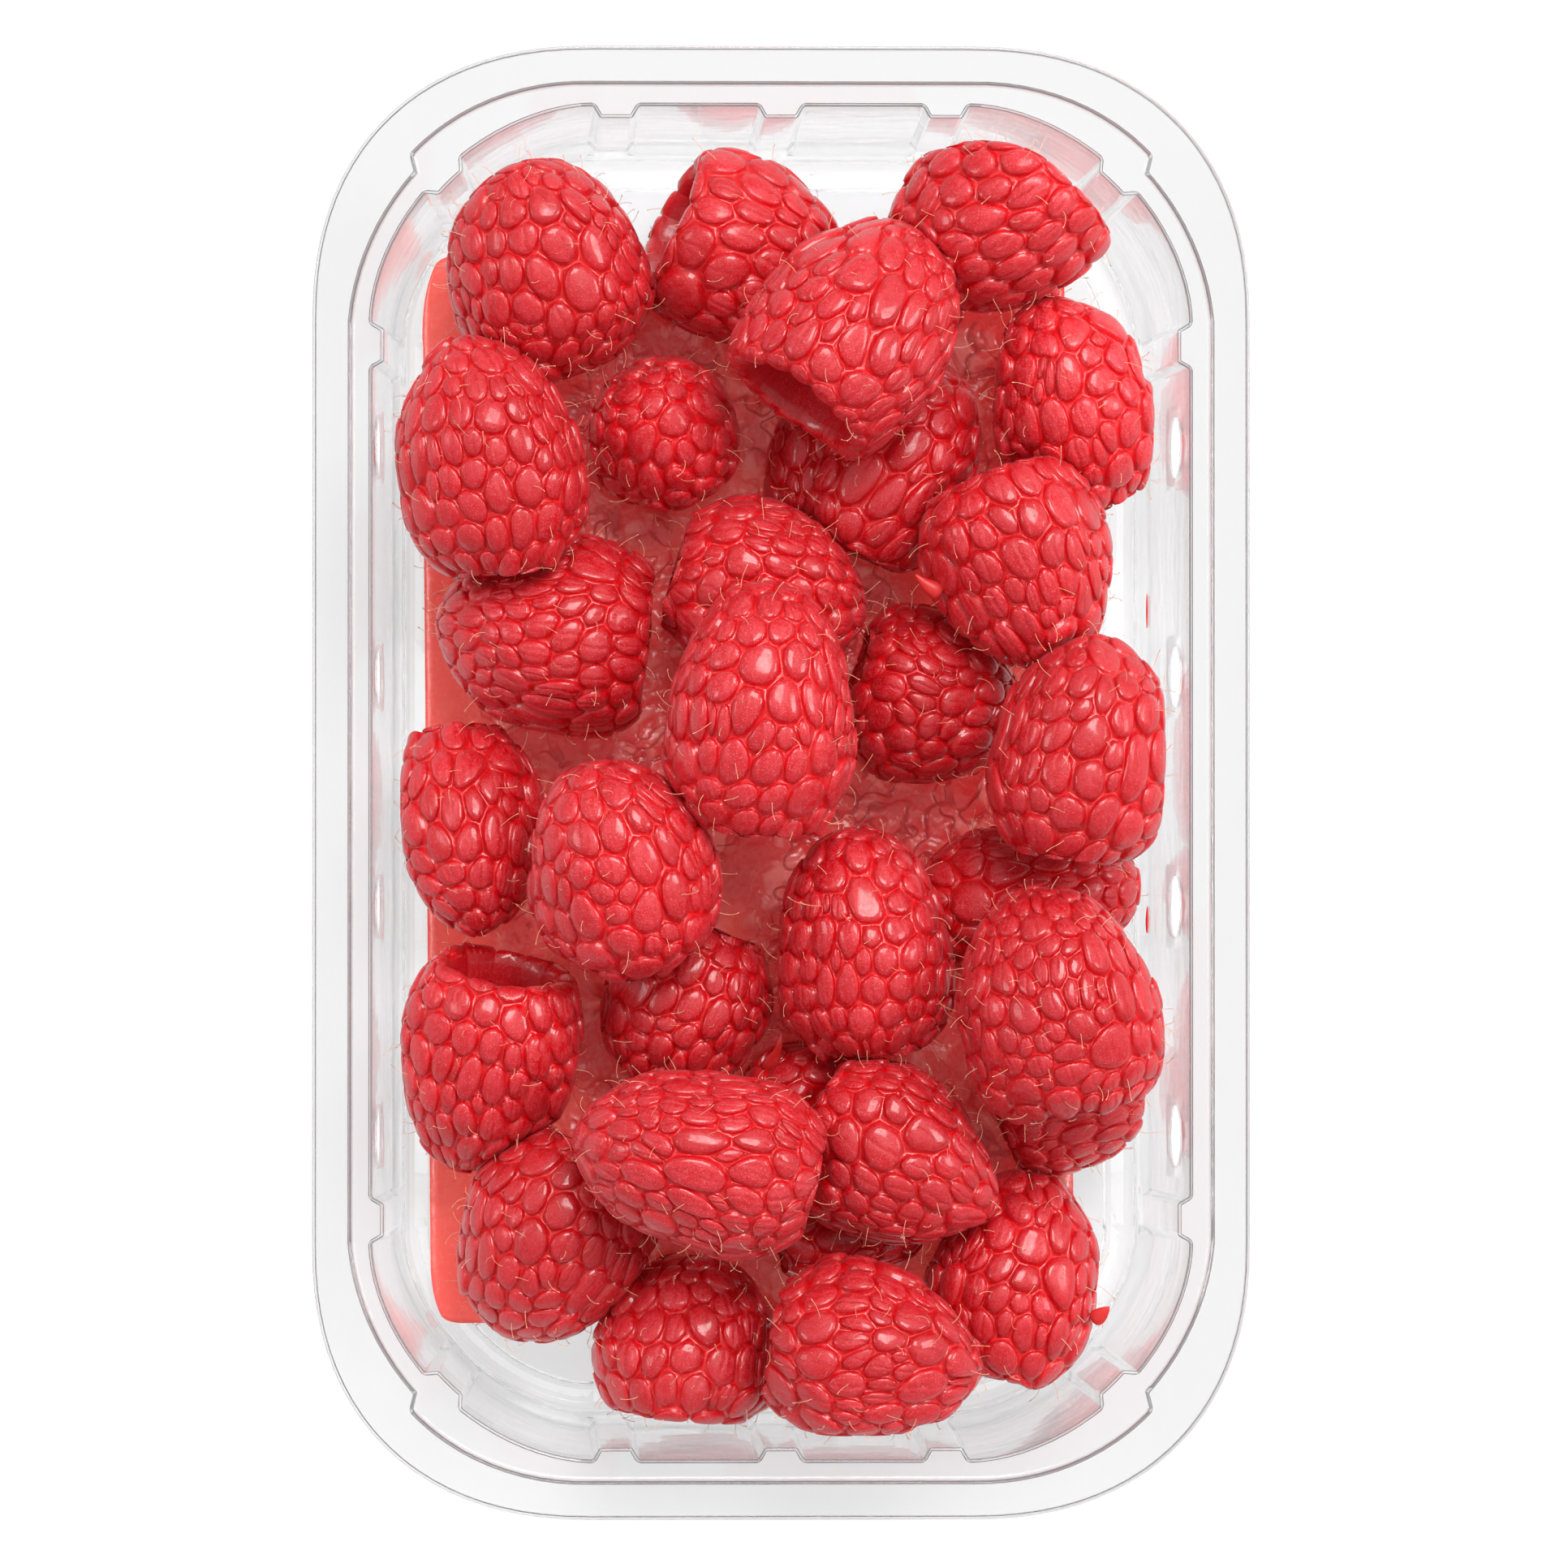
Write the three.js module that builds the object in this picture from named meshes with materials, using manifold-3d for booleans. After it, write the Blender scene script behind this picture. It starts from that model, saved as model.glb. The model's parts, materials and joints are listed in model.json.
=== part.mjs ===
// Punnet of raspberries: a clear thermoformed tray, the absorbent pad on its floor,
// and the heap of berries that lies on the pad. Millimetres, +Z up, long side along Y.
// The origin is the middle of the face that the tray stands on.

import * as THREE from 'three';
import { mergeVertices } from 'three/addons/utils/BufferGeometryUtils.js';
import Module from 'manifold-3d';

const wasm = await Module();
wasm.setup();

// Driving dimensions of the tray
const trayLength = 187.3;
const trayWidth = 119.2;
const trayHeight = 54;
const sheet = 0.5; // thickness of the clear sheet
const flangeWidth = 4.9; // flat sealing flange round the mouth
const ledgeWidth = 7.6; // from the outer edge to the top of the wall panels
const lipDrop = 1.8; // the flange's edge is turned down by this much
const ledgeDrop = 1.5; // the ledge lies this far below the flange
const floorHalfX = 48.3; // foot of the walls, measured inside
const floorHalfY = 82.6;
const ringInset = 3.6; // the foot ring ends this far inside the foot of the walls
const floorRise = 1.2; // the middle of the floor is raised above the foot ring

// Where the straight stretches of every outline end and its corners begin
const cornerX = 24;
const cornerY = 58.6;

// Ribs: narrow stretches of wall that stand into the tray between its panels
const ribDepth = 1.5;
const ribWidth = 4.2;
const ribFlank = 0.85; // width of the sloping flank on each side of a rib
const endRibX = 21; // each end has a rib in the middle and one at each side of it
const sideRibY = 55.6;
const diagonalRibAngle = 45;
const ribHalfAngle = 4.3; // half of a diagonal rib, as an angle of its corner

// Vents: upright oval holes in the two long walls
const ventWidth = 8.3;
const ventHeight = 13;
const ventZ = 36;
const ventPitch = 29.5;
const ventShift = -1; // the row sits a little towards one end
const ventsPerSide = 4;
const ventSides = 20;

// The foot of the flange has a small hook in every corner, where the line from the end
// runs on past the line from the long side, which lies further in
const hookAngle = 42;
const hookStep = 0.05; // as a share of the corner's size
const hookSqueeze = 0.25; // how close together the places on both sides of the hook move

// The absorbent pad
const pad = { length: 140, width: 84.4, thickness: 1.7, corner: 2.5, x: -2.4, y: 0, turn: 0.55 };
const gap = 0.3; // between pieces that rest on each other

// The berries: x, y and z of the middle, length along the core, width, heading of the tip
// round Z and its tilt above the horizontal, in millimetres and degrees
const berries = [
  // low down, mostly hidden
  { x: 6.5, y: -41, z: 12.8, long: 22, wide: 17, heading: 20, tilt: 0 },
  { x: 10.5, y: -57.5, z: 12.8, long: 22, wide: 17, heading: 10, tilt: 0 },
  { x: 6.5, y: 42.5, z: 11.8, long: 20, wide: 15, heading: 80, tilt: 0 },
  // the layer that lies on the pad
  { x: -14.5, y: 46, z: 17.7, long: 25, wide: 19.8, heading: 90, tilt: 78 },
  { x: 18, y: 41.5, z: 14.6, long: 27, wide: 20.5, heading: 62, tilt: 0 },
  { x: 21, y: 11.5, z: 15.3, long: 24, wide: 22, heading: -15, tilt: 0 },
  { x: -11, y: -29, z: 15.3, long: 25, wide: 22, heading: 250, tilt: 0 },
  { x: 33.5, y: -14.5, z: 14, long: 28.5, wide: 19.5, heading: 5, tilt: 0 },
  { x: 36.5, y: -40.5, z: 14.5, long: 23, wide: 20.5, heading: 20, tilt: 0 },
  { x: -38.5, y: -5.5, z: 14, long: 28, wide: 19.5, heading: -84, tilt: 0 },
  { x: -29.5, y: 19, z: 17, long: 29, wide: 25.5, heading: 174, tilt: 0 },
  { x: -2.8, y: 69.2, z: 16, long: 25, wide: 23.8, heading: -25, tilt: -8 },
  { x: -37, y: -35.5, z: 17.5, long: 28, wide: 23.2, heading: -99, tilt: -18 },
  { x: -28.5, y: -59, z: 17.5, long: 29, wide: 24, heading: 245, tilt: 0 },
  { x: -10.7, y: -71.8, z: 16, long: 22.5, wide: 24, heading: 80, tilt: 0 },
  { x: 31.5, y: -64.5, z: 16, long: 28.5, wide: 22.8, heading: 78, tilt: 0 },
  { x: 38, y: 50, z: 19, long: 28, wide: 21.2, heading: 105, tilt: 0 },
  { x: -30.6, y: 67.8, z: 22.5, long: 30, wide: 25.5, heading: 109, tilt: 25 },
  { x: 27, y: 71.5, z: 20, long: 26, wide: 22, heading: 207, tilt: -5 },
  // between and on top of them
  { x: -37, y: 42, z: 28, long: 31, wide: 24, heading: 100, tilt: 0 },
  { x: -2, y: 25, z: 21, long: 27, wide: 23.5, heading: -15, tilt: 0 },
  { x: 31.5, y: 28, z: 26, long: 27, wide: 24, heading: -69, tilt: 0 },
  { x: 12, y: -21, z: 23.5, long: 30, wide: 23.5, heading: 98, tilt: 8 },
  { x: 17, y: -50, z: 25, long: 27, wide: 23, heading: -30, tilt: 0 },
  { x: 13.1, y: -72.8, z: 28, long: 29, wide: 24, heading: -10, tilt: 0 },
  { x: 9.5, y: 58, z: 31, long: 30, wide: 25.5, heading: 55, tilt: -8 },
  { x: 38.9, y: 5.2, z: 32, long: 30, wide: 23, heading: 82, tilt: 4 },
  { x: -19.5, y: -10, z: 32, long: 27.5, wide: 25, heading: 105, tilt: 20 },
  { x: 36, y: -28.5, z: 33, long: 30, wide: 25.6, heading: 103, tilt: 5 },
  { x: -9.5, y: -49, z: 35, long: 32.5, wide: 23, heading: 168, tilt: 3 },
  { x: -2, y: 9, z: 35.5, long: 32.5, wide: 24.5, heading: 88, tilt: 3 },
];
const berrySides = 12;
const berryShoulder = 0.34; // a berry is widest this far from its open end
const berryMouth = 0.6; // radius of the open end, as a share of the widest radius
const hollowDepth = 0.32; // depth of the hollow that shows, as a share of the length

// The core that joins the berries: a low block well inside their outline
const core = { length: 132, width: 74, height: 6.5, corner: 20 };

const clearPlastic = new THREE.MeshStandardMaterial({
  color: 0xf2f4f4,
  roughness: 0.08,
  metalness: 0,
  transparent: true,
  opacity: 0.3,
});
const padFilm = new THREE.MeshStandardMaterial({ color: 0xe2524c, roughness: 0.45, metalness: 0 });
const berryRed = new THREE.MeshStandardMaterial({ color: 0xc4202c, roughness: 0.4, metalness: 0 });

// ---- helpers ----

function toSolid(geometry) {
  const bare = geometry.clone();
  bare.deleteAttribute('normal');
  bare.deleteAttribute('uv');
  const merged = mergeVertices(bare, 1e-4);
  return new wasm.Manifold(new wasm.Mesh({
    numProp: 3,
    vertProperties: new Float32Array(merged.attributes.position.array),
    triVerts: new Uint32Array(merged.index.array),
  }));
}

function toGeometry(solid) {
  const mesh = solid.getMesh();
  const geometry = new THREE.BufferGeometry();
  geometry.setAttribute('position', new THREE.BufferAttribute(new Float32Array(mesh.vertProperties), 3));
  geometry.setIndex(new THREE.BufferAttribute(new Uint32Array(mesh.triVerts), 1));
  geometry.computeVertexNormals();
  return geometry;
}

// A closed skin through a stack of outlines with equal numbers of points. It is closed
// at both ends by a fan round the middle of the first and of the last outline.
function skin(outlines) {
  const count = outlines[0].length;
  const points = outlines.flat();
  const faces = [];
  for (let row = 0; row + 1 < outlines.length; row += 1) {
    for (let i = 0; i < count; i += 1) {
      const j = (i + 1) % count;
      const [a, b] = [row * count + i, row * count + j];
      faces.push([a, b, a + count], [b, b + count, a + count]);
    }
  }
  const lastRow = (outlines.length - 1) * count;
  const bottom = points.push(new THREE.Vector3(0, 0, outlines[0][0].z)) - 1;
  const top = points.push(new THREE.Vector3(0, 0, outlines.at(-1)[0].z)) - 1;
  for (let i = 0; i < count; i += 1) {
    const j = (i + 1) % count;
    faces.push([bottom, j, i], [top, lastRow + i, lastRow + j]);
  }
  const geometry = new THREE.BufferGeometry().setFromPoints(points);
  geometry.setIndex(faces.flat());
  return geometry;
}

// A flat block with upright rounded corners, standing on z = 0
function roundedBlock(width, length, height, corner) {
  const shape = new THREE.Shape();
  const [w, l] = [width / 2 - corner, length / 2 - corner];
  shape.absarc(w, l, corner, 0, Math.PI / 2);
  shape.absarc(-w, l, corner, Math.PI / 2, Math.PI);
  shape.absarc(-w, -l, corner, Math.PI, 1.5 * Math.PI);
  shape.absarc(w, -l, corner, 1.5 * Math.PI, 2 * Math.PI);
  return new THREE.ExtrudeGeometry(shape, { depth: height, bevelEnabled: false, curveSegments: 4 });
}

// ---- tray ----

// The places round a quarter of every outline, from the middle of an end to the middle of
// a long side. onRib tells the places that step inwards from those that stay on a panel.
function quarterStations() {
  const halfRib = ribWidth / 2;
  const halfFoot = halfRib + ribFlank;
  const across = (line, middle, sign) => [
    { line, at: middle - sign * halfFoot, onRib: false },
    { line, at: middle - sign * halfRib, onRib: true },
    { line, at: middle + sign * halfRib, onRib: true },
    { line, at: middle + sign * halfFoot, onRib: false },
  ];
  const arc = (degrees, onRib) => ({ line: 'arc', at: THREE.MathUtils.degToRad(degrees), onRib });
  const flankAngle = ribHalfAngle * 1.45;
  return [
    ...across('end', 0, 1).slice(2),
    ...across('end', endRibX, 1),
    ...[82, 74, 66, 58].map((degrees) => arc(degrees, false)),
    arc(diagonalRibAngle + flankAngle, false),
    arc(diagonalRibAngle + ribHalfAngle, true),
    arc(diagonalRibAngle - ribHalfAngle, true),
    arc(diagonalRibAngle - flankAngle, false),
    ...[32, 24, 16, 8].map((degrees) => arc(degrees, false)),
    ...across('side', sideRibY, -1),
  ];
}

// The angle of a place in a corner, moved close to the hook at a level that has one
function cornerAngle(angle, level) {
  const middle = THREE.MathUtils.degToRad(hookAngle);
  const reach = THREE.MathUtils.degToRad(10);
  const near = Math.abs(angle - middle) < reach;
  return level.hook && near ? middle + (angle - middle) * hookSqueeze : angle;
}

// A point of the outline of one level. Corners are superellipses: power 2 is an ellipse and
// less than 2 cuts the corner.
function stationPoint(station, level) {
  const step = station.onRib ? level.recess ?? 0 : 0;
  const a = level.halfX - step;
  const b = level.halfY - step;
  if (station.line === 'end') return [station.at, b];
  if (station.line === 'side') return [a, station.at];
  const angle = cornerAngle(station.at, level);
  const inwards = angle < THREE.MathUtils.degToRad(hookAngle) ? 1 : -0.25;
  const pull = level.hook ? 1 - hookStep * inwards * Math.sin(2 * angle) : 1;
  const x = cornerX + (a - cornerX) * Math.cos(angle) ** (2 / level.power) * pull;
  const y = cornerY + (b - cornerY) * Math.sin(angle) ** (2 / level.power) * pull;
  return [x, y];
}

function outline(level) {
  const quarter = quarterStations().map((station) => stationPoint(station, level));
  const half = [...quarter, ...quarter.map(([x, y]) => [x, -y]).reverse()];
  const whole = [...half, ...half.map(([x, y]) => [-x, y]).reverse()];
  return whole.reverse().map(([x, y]) => new THREE.Vector3(x, y, level.z));
}

// Levels of the inside of the tray, from the raised floor up to the foot of the flange
function insideLevels() {
  const halfX = trayWidth / 2;
  const halfY = trayLength / 2;
  const ringX = floorHalfX - ringInset;
  const ringY = floorHalfY - ringInset;
  const wallTopZ = trayHeight - ledgeDrop - 0.2;
  const flangeFoot = {
    halfX: halfX - flangeWidth,
    halfY: halfY - flangeWidth,
    z: trayHeight,
    power: 2.06,
    hook: true,
  };
  return {
    floor: [
      { halfX: ringX - 0.6, halfY: ringY - 0.6, z: floorRise + sheet, power: 1.75 },
      { halfX: ringX, halfY: ringY, z: sheet, power: 1.75 },
      { halfX: floorHalfX - 1.5, halfY: floorHalfY - 1.6, z: sheet, power: 1.75 },
    ],
    wall: [
      { halfX: floorHalfX - 0.5, halfY: floorHalfY - 0.6, z: 1.7, power: 1.72 },
      { halfX: floorHalfX, halfY: floorHalfY, z: 5.5, power: 1.7 },
      { halfX: floorHalfX + 1.1, halfY: floorHalfY + 1.2, z: 10, power: 1.72, recess: 0.95 },
      { halfX: halfX - ledgeWidth, halfY: halfY - ledgeWidth, z: wallTopZ, power: 1.8, recess: ribDepth },
    ],
    rim: [
      outside(flangeFoot, -0.3, ledgeDrop),
      flangeFoot,
    ],
  };
}

// The same level on the outside of the sheet: out from a wall and below a flat
function outside(level, out, down) {
  return { ...level, halfX: level.halfX + out, halfY: level.halfY + out, z: level.z - down };
}

function trayBody() {
  const { floor, wall, rim } = insideLevels();
  const halfX = trayWidth / 2;
  const halfY = trayLength / 2;
  const edge = { halfX, halfY, z: trayHeight - 0.5, power: 2.28 };
  const flangeTop = { halfX: halfX - 0.5, halfY: halfY - 0.5, z: trayHeight, power: 2.28 };
  const lipFoot = { ...edge, z: trayHeight - lipDrop };
  const top = [...floor, ...wall, ...rim, flangeTop, edge, lipFoot];
  const under = [
    outside(floor[0], -0.3, sheet),
    outside(floor[1], -0.3, sheet),
    outside(floor[2], 0.2, sheet),
    outside(wall[0], sheet, sheet * 0.6),
    outside(wall[1], sheet, 0.1),
    outside(wall[2], sheet, 0.1),
    outside(wall[3], sheet, sheet),
    outside(rim[0], sheet, sheet),
    outside(rim[1], sheet, sheet),
    outside(flangeTop, -sheet, sheet),
    outside(lipFoot, -sheet, 0),
  ];
  return skin([...under, ...top.reverse()].map(outline));
}

function ventCutter(side, y) {
  const cutter = new THREE.CylinderGeometry(0.5, 0.5, 1, ventSides);
  cutter.rotateZ(Math.PI / 2);
  cutter.scale(12, ventWidth, ventHeight);
  cutter.translate(side * (floorHalfX + 1.5), y, ventZ);
  return cutter;
}

// The room inside the walls, a gap clear of them, from the given height up
function roomGeometry(bottomZ) {
  const [foot, ...above] = insideLevels().wall.map((level) => outside(level, -gap, 0));
  return skin([{ ...foot, z: bottomZ }, ...above].map(outline));
}

function trayGeometry() {
  let solid = toSolid(trayBody());
  for (const side of [-1, 1]) {
    for (let i = 0; i < ventsPerSide; i += 1) {
      const y = (i - (ventsPerSide - 1) / 2) * ventPitch + ventShift;
      solid = solid.subtract(toSolid(ventCutter(side, y)));
    }
  }
  return toGeometry(solid);
}

// ---- pad ----

function padBottom() {
  return floorRise + sheet + gap;
}

// A sheet with rounded corners, trimmed where they would reach the corners of the tray
function padGeometry() {
  const sheetShape = roundedBlock(pad.width, pad.length, pad.thickness, pad.corner);
  sheetShape.rotateZ(THREE.MathUtils.degToRad(pad.turn));
  sheetShape.translate(pad.x, pad.y, padBottom());
  return toGeometry(toSolid(sheetShape).intersect(toSolid(roomGeometry(padBottom()))));
}

// ---- heap of berries ----

// Radius of a berry at t, from 0 at its open end to 1 at its tip, as a share of the widest
function berryRadius(t) {
  if (t > berryShoulder) {
    return Math.sqrt(1 - ((t - berryShoulder) / (1 - berryShoulder)) ** 2.2);
  }
  return 1 - (1 - berryMouth) * ((berryShoulder - t) / berryShoulder) ** 2.5;
}

function berryGeometry({ x, y, z, long, wide, heading, tilt }) {
  const skinRows = [0, 0.1, 0.3, 0.5, 0.7, 0.86, 0.96];
  const profile = [
    new THREE.Vector2(0, hollowDepth * long),
    new THREE.Vector2(0.3 * wide / 2, 0.8 * hollowDepth * long),
    ...skinRows.map((t) => new THREE.Vector2(berryRadius(t) * wide / 2, t * long)),
    new THREE.Vector2(0, long),
  ];
  const geometry = new THREE.LatheGeometry(profile, berrySides);
  geometry.translate(0, -long / 2, 0);
  const tip = new THREE.Vector3().setFromSphericalCoords(
    1, THREE.MathUtils.degToRad(90 - tilt), THREE.MathUtils.degToRad(heading + 90));
  const direction = new THREE.Vector3(tip.x, -tip.z, tip.y);
  const turn = new THREE.Quaternion().setFromUnitVectors(new THREE.Vector3(0, 1, 0), direction);
  geometry.applyQuaternion(turn);
  geometry.translate(x, y, z);
  return geometry;
}

function coreGeometry() {
  const block = roundedBlock(core.width, core.length, core.height, core.corner);
  block.translate(0, 0, padBottom() + pad.thickness + gap);
  return block;
}

function heapGeometry() {
  const bodies = berries.map((berry) => toSolid(berryGeometry(berry)));
  const joined = bodies.reduce((sum, body) => sum.add(body), toSolid(coreGeometry()));
  const fitted = joined.intersect(toSolid(roomGeometry(padBottom() + pad.thickness + gap)));
  // the largest piece is the heap: loose scraps drop out, and hollows sealed by fusing are filled
  const pieces = fitted.decompose().sort((a, b) => b.volume() - a.volume());
  return toGeometry(pieces[0]);
}

// ---- assembly ----

function named(name, geometry, material) {
  const mesh = new THREE.Mesh(geometry, material);
  mesh.name = name;
  return mesh;
}

const punnet = new THREE.Group();
punnet.add(named('tray', trayGeometry(), clearPlastic));
punnet.add(named('pad', padGeometry(), padFilm));
punnet.add(named('raspberries', heapGeometry(), berryRed));

export default punnet;
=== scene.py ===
# A punnet of raspberries: a clear tray, the wet pad on its floor and a loose heap of berries.
# Blender 4.5. Everything is in metres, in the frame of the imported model.
import json
import math
import random

import bmesh
import bpy
from mathutils import Matrix, Vector, noise

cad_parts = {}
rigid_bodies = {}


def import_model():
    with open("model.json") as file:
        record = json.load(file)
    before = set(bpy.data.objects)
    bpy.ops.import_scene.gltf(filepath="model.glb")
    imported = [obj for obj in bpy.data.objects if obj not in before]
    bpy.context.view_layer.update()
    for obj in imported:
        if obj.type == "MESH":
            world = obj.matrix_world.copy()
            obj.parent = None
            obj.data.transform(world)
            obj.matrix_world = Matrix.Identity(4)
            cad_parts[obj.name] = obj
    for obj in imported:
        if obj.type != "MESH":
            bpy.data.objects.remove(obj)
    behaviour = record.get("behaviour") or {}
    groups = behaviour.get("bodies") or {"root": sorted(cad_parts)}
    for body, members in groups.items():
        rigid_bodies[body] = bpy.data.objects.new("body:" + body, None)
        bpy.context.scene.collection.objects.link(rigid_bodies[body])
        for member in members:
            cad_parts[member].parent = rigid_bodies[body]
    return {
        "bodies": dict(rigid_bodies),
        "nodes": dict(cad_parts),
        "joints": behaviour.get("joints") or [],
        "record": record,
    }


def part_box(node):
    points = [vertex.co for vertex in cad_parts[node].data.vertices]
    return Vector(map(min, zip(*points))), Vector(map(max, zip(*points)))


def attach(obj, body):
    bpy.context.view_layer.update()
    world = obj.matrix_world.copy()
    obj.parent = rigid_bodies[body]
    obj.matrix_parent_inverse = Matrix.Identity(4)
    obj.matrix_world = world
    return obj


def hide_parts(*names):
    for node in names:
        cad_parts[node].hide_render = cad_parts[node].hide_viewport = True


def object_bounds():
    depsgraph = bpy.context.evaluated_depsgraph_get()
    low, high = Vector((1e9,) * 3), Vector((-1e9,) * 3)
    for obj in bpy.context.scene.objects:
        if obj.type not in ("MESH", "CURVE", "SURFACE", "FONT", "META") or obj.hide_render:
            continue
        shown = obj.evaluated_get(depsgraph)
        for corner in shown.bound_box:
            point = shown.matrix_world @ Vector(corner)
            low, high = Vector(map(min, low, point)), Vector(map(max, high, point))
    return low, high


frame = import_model()
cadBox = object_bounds()
mm = 0.001
rimHeight = cadBox[1].z
noise.seed_set(4)  # or the lumps of the berries come out differently each time
print("frame loaded")


# A wrapped socket, so that shader maths reads as plain expressions
class Wire:
    def __init__(self, kit, socket):
        self.kit = kit
        self.socket = socket

    def math(self, operation, *others):
        sockets = dict(enumerate((self, *others)))
        return self.kit.add("ShaderNodeMath", {"operation": operation}, sockets)

    def __add__(self, other):
        return self.math("ADD", other)

    def __sub__(self, other):
        return self.math("SUBTRACT", other)

    def __mul__(self, other):
        return self.math("MULTIPLY", other)

    def __truediv__(self, other):
        return self.math("DIVIDE", other)

    def __pow__(self, other):
        return self.math("POWER", other)

    def __neg__(self):
        return self.math("MULTIPLY", -1.0)

    def __rsub__(self, other):
        return (-self) + other

    __radd__ = __add__
    __rmul__ = __mul__


# A material and the few ways in which its nodes are made
class Kit:
    def __init__(self, name):
        self.material = bpy.data.materials.new(name)
        self.material.use_nodes = True
        self.tree = self.material.node_tree
        self.tree.nodes.clear()

    def add(self, kind, settings=None, sockets=None, output=0):
        node = self.tree.nodes.new(kind)
        for name, value in (settings or {}).items():
            setattr(node, name, value)
        for name, value in (sockets or {}).items():
            if isinstance(value, Wire):
                self.tree.links.new(value.socket, node.inputs[name])
            else:
                node.inputs[name].default_value = value
        return Wire(self, node.outputs[output])

    def smooth(self, value, low, high):
        sockets = {0: value, 1: low, 2: high, 3: 0.0, 4: 1.0}
        return self.add("ShaderNodeMapRange", {"interpolation_type": "SMOOTHSTEP"}, sockets)

    def mix(self, factor, first, second, how="MIX"):
        settings = {"data_type": "RGBA", "blend_type": how}
        return self.add("ShaderNodeMix", settings, {0: factor, 6: first, 7: second}, 2)

    def place(self):
        return self.add("ShaderNodeTexCoord", output="Object")

    def noise(self, scale, detail=2.0, distortion=0.0):
        sockets = {"Vector": self.place(), "Scale": scale}
        sockets.update({"Detail": detail, "Distortion": distortion})
        return self.add("ShaderNodeTexNoise", None, sockets)

    def part(self, vector, axis):
        return self.add("ShaderNodeSeparateXYZ", None, {0: vector}, axis)

    def channel(self, colour, name):
        return self.add("ShaderNodeSeparateColor", None, {0: colour}, name)

    def bump(self, height, distance, strength=1.0):
        sockets = {"Strength": strength, "Distance": distance, "Height": height}
        return self.add("ShaderNodeBump", None, sockets)

    def principled(self, sockets, settings=None):
        return self.add("ShaderNodeBsdfPrincipled", settings, sockets)

    def finish(self, shader):
        node = self.tree.nodes.new("ShaderNodeOutputMaterial")
        self.tree.links.new(shader.socket, node.inputs["Surface"])
        return self.material


def rgb(red, green, blue):
    # display values 0 to 255 to the linear colour that shaders take
    return tuple((c / 255) ** 2.2 for c in (red, green, blue)) + (1.0,)


berryTones = {
    "valley": rgb(218, 8, 23),
    "dome": rgb(206, 14, 29),
    # pale bloom on the domes, partly painted sheen; and paler specks, partly painted glints
    "bloomAndPaintedSheen": rgb(230, 92, 98),
    "speckAndGlint": rgb(250, 162, 162),
    "darkest": (0.8, 0.45, 0.54, 1.0),  # what the tone of a drupelet leaves of these colours
    "lightest": (1.04, 1.04, 1.1, 1.0),
    "sheen": (1.0, 0.72, 0.72, 1.0),
}


# Glossy flesh with a pale bloom on the domes, partly the berry's own bloom and partly painted
# sheen, and paler specks that are partly painted glints. The cell attribute holds the drupelet's
# tone in red, the height on its dome in green and the depth of its furrow in blue.
def berrySkin():
    kit = Kit("raspberry skin")
    cell = kit.add("ShaderNodeAttribute", {"attribute_name": "cell"}, None, "Color")
    tone = kit.channel(cell, "Red")
    height = kit.channel(cell, "Green")
    furrow = kit.channel(cell, "Blue")
    spot = kit.add("ShaderNodeUVMap", {"uv_map": "drupelet"})
    sideways = kit.part(spot, "X")
    upwards = kit.part(spot, "Y")
    wobble = kit.noise(450.0, 1.0) - 0.5
    fine = kit.noise(5200.0, 3.0)
    mottle = kit.noise(700.0, 3.0, 0.6)

    dome = (sideways * sideways + upwards * upwards) * -1.5
    bent = sideways + wobble * 0.3 + tone * 0.24 - 0.12
    groove = (bent * bent * -220.0).math("EXPONENT") * furrow * kit.smooth(height, 0.55, 1.0)
    ripple = (bent * 24.0 + tone * 9.0).math("SINE") * kit.smooth(tone, 0.3, 0.7) * 0.05
    relief = dome + fine * 0.11 + mottle * 0.13 + ripple - groove * 0.22

    flesh = kit.mix(kit.smooth(height, 0.0, 0.55), berryTones["valley"], berryTones["dome"])
    # pale pink on the upper domes, partly bloom and partly painted sheen; the specks are partly
    # painted glints
    bloomAndPaintedSheen = kit.smooth(mottle + fine * 0.5, 0.55, 1.0) * kit.smooth(height, 0.5, 1.0)
    specksAndGlints = kit.smooth(fine, 0.56, 0.68) * kit.smooth(height, 0.3, 0.8)
    bloomAndSheenTone = kit.mix(bloomAndPaintedSheen * 0.32, flesh, berryTones["bloomAndPaintedSheen"])
    speckledAndGlinted = kit.mix(specksAndGlints * 0.26, bloomAndSheenTone, berryTones["speckAndGlint"])
    share = kit.mix(tone, berryTones["darkest"], berryTones["lightest"])
    shaded = kit.mix(1.0, speckledAndGlinted, share, "MULTIPLY")
    skin = kit.principled({
        "Base Color": shaded,
        "Roughness": 0.3 + bloomAndPaintedSheen * 0.2 + fine * 0.16,
        "Normal": kit.bump(relief, 0.6 * mm),
        "Subsurface Weight": 0.35,
        "Subsurface Radius": (1.0, 0.12, 0.1),
        "Subsurface Scale": 1.6 * mm,
        "Specular IOR Level": 0.4,
        "Coat Weight": 0.8 - bloomAndPaintedSheen * 0.5,
        "Coat Roughness": 0.11,
        # a faint glow in its own colour: painted light that lifts the berries that lie in shade
        "Emission Color": shaded,
        "Emission Strength": 0.05,
        "Sheen Weight": 0.08,
        "Sheen Roughness": 0.35,
        "Sheen Tint": berryTones["sheen"],
    }, {"subsurface_method": "BURLEY"})
    kit.material.cycles.emission_sampling = "NONE"
    return kit.finish(skin)


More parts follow.
